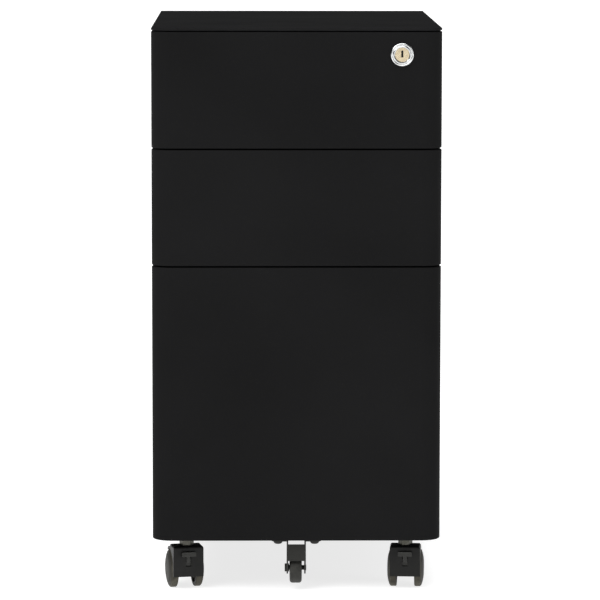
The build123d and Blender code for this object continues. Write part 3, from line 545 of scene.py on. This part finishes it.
# -------------------------------------------------------------------- key slot
# A sleeve with ridges and a backing slab across the slot, all in black paint: painted shade that keeps the key
# slot dark. The ridges make the slot the shape of a flat key.
SHADE_LINER_SLOT = "bracket_paint"
KEYWAY_HALF = 1.1 * MM
KEYWAY_HEIGHT = 7.0 * MM
KEYWAY_DEPTH = 4.0 * MM
KEYWAY_RISE = 0.8 * MM               # the slot's middle above the plug's
SLEEVE_WALL = 0.2 * MM
SLEEVE_SET = 0.12 * MM               # the sleeve's rim behind the plug's face
SLEEVE_END_GAP = 0.05 * MM           # between the sleeve and the keyway's end
# The black backing slab is painted shade that fills the slot's depth.
SHADE_BACKING_SET = 1.6 * MM
RIDGE_ROOT = 0.95 * MM               # a ridge starts this far from the slot's middle, in the wall
RIDGE_HALF_HEIGHT = 0.45 * MM
RIDGE_SET = 0.35 * MM
RIDGE_END = 1.7 * MM
# Each ridge's side, its height above the slot's middle and its reach from its root, in millimetres.
RIDGES = ((-1, 1.1, 0.55), (1, -0.9, 0.5), (-1, -2.4, 0.7), (1, -2.9, 0.6))


def key_slot_shade_liner():
    """The four walls of the sleeve, the backing slab across it and the ridges in front of the slab, all in black
    paint as painted shade inside the key slot.
    """
    low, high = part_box("lock_plug")
    middle = Vector(((low.x + high.x) / 2, low.y, (low.z + high.z) / 2 + KEYWAY_RISE))
    place = Matrix.Translation(middle)
    half = KEYWAY_HALF
    rise = KEYWAY_HEIGHT / 2
    end = KEYWAY_DEPTH - SLEEVE_END_GAP
    bore_half = half - SLEEVE_WALL
    bore_rise = rise - SLEEVE_WALL
    bm = bmesh.new()
    slab(bm, place, (-half, SLEEVE_SET, -rise), (-bore_half, end, rise))
    slab(bm, place, (bore_half, SLEEVE_SET, -rise), (half, end, rise))
    slab(bm, place, (-bore_half, SLEEVE_SET, bore_rise), (bore_half, end, rise))
    slab(bm, place, (-bore_half, SLEEVE_SET, -rise), (bore_half, end, -bore_rise))
    # Black backing slab across the slot: painted shade.
    slab(bm, place, (-bore_half, SHADE_BACKING_SET, -bore_rise), (bore_half, end, bore_rise))
    for side, height, reach in RIDGES:
        left, right = sorted((side * RIDGE_ROOT, side * (RIDGE_ROOT - reach * MM)))
        slab(bm, place,
             (left, RIDGE_SET, height * MM - RIDGE_HALF_HEIGHT),
             (right, RIDGE_END, height * MM + RIDGE_HALF_HEIGHT))
    # The whole sleeve is black paint, as painted shade inside the key slot.
    put_in_scene("key_slot_shade_liner", bm, materials[SHADE_LINER_SLOT], "lock_core")


key_slot_shade_liner()

# ---------------------------------------------------------------- floor, light
FLOOR_HALF = 60.0
FLOOR_GLOW = 0.78                    # a lit floor, so that the cabinet's shadow on it stays pale
floor_graph = Graph("floor")
floor_tone = floor_graph.ramp(floor_graph.noise(0.8, detail=3), 0.3, 0.7, start=0.55, end=0.58)
combine = floor_graph.node("ShaderNodeCombineColor")
for channel in ("Red", "Green", "Blue"):
    floor_graph.link(floor_tone, combine.inputs[channel])
floor_material = floor_graph.finish(combine.outputs["Color"], 0.9, Specular_IOR_Level=0.1,
                                    Emission_Color=(1, 1, 1, 1), Emission_Strength=FLOOR_GLOW)
floor_mesh = bpy.data.meshes.new("floor")
floor_corners = [(-FLOOR_HALF, -FLOOR_HALF, 0), (FLOOR_HALF, -FLOOR_HALF, 0),
                 (FLOOR_HALF, FLOOR_HALF, 0), (-FLOOR_HALF, FLOOR_HALF, 0)]
floor_mesh.from_pydata(floor_corners, [], [(0, 1, 2, 3)])
floor = bpy.data.objects.new("floor", floor_mesh)
bpy.context.scene.collection.objects.link(floor)
dress(floor, floor_material)

# The walls give little light, and are seen pale like the floor.
WALL_LIGHT = 0.10
WALL_SEEN = 1.0
world = bpy.data.worlds.new("studio")
world.use_nodes = True
world_nodes = world.node_tree.nodes
background = world_nodes["Background"]
light_path = world_nodes.new("ShaderNodeLightPath")
wall_tone = world_nodes.new("ShaderNodeMapRange")
wall_tone.inputs["To Min"].default_value = WALL_LIGHT
wall_tone.inputs["To Max"].default_value = WALL_SEEN
world.node_tree.links.new(light_path.outputs["Is Camera Ray"], wall_tone.inputs["Value"])
world.node_tree.links.new(wall_tone.outputs["Result"], background.inputs["Strength"])
background.inputs["Color"].default_value = (1, 1, 1, 1)
bpy.context.scene.world = world


def add_light(name, kind, energy, location, target, **settings):
    """Adds a light that points from its location to a target."""
    light = bpy.data.lights.new(name, kind)
    light.energy = energy
    for key, value in settings.items():
        setattr(light, key, value)
    obj = bpy.data.objects.new(name, light)
    obj.location = location
    obj.rotation_euler = (Vector(target) - Vector(location)).to_track_quat("-Z", "Y").to_euler()
    bpy.context.scene.collection.objects.link(obj)


add_light("sky", "SUN", energy=2.9, location=(-0.6, -1.0, 3.0), target=(0, 0, 0), angle=radians(70))
add_light("key", "AREA", energy=34, location=(-1.7, -2.4, 2.2), target=(0, 0, 0.35),
          shape="RECTANGLE", size=1.6, size_y=1.2)
add_light("fill", "AREA", energy=12, location=(2.2, -1.4, 1.1), target=(0, 0, 0.3),
          shape="RECTANGLE", size=1.2, size_y=1.8)

# ---------------------------------------------------------------------- camera
CAMERA_PLACE = Vector((-0.0468, -3.9766, 0.7600))
CAMERA_YAW = radians(0.767)          # to the right of straight ahead
CAMERA_PITCH = radians(6.838)        # downward
CAMERA_ROLL = radians(0.057)
LENS = 219.49                        # millimetres, on a sensor 36 mm wide
ahead = Vector((sin(CAMERA_YAW) * cos(CAMERA_PITCH),
                cos(CAMERA_YAW) * cos(CAMERA_PITCH),
                -sin(CAMERA_PITCH)))
level = Vector((cos(CAMERA_YAW), -sin(CAMERA_YAW), 0))
rolled = Matrix.Rotation(CAMERA_ROLL, 3, -ahead) @ level
camera_data = bpy.data.cameras.new("camera")
camera_data.lens = LENS
camera_data.sensor_width = 36.0
camera_data.clip_start = 0.05
camera_data.clip_end = 200.0
camera = bpy.data.objects.new("camera", camera_data)
camera.matrix_world = (Matrix.Translation(CAMERA_PLACE)
                       @ Matrix((rolled, rolled.cross(ahead), -ahead)).transposed().to_4x4())
bpy.context.scene.collection.objects.link(camera)
bpy.context.scene.camera = camera
bpy.context.scene.view_settings.view_transform = "Standard"
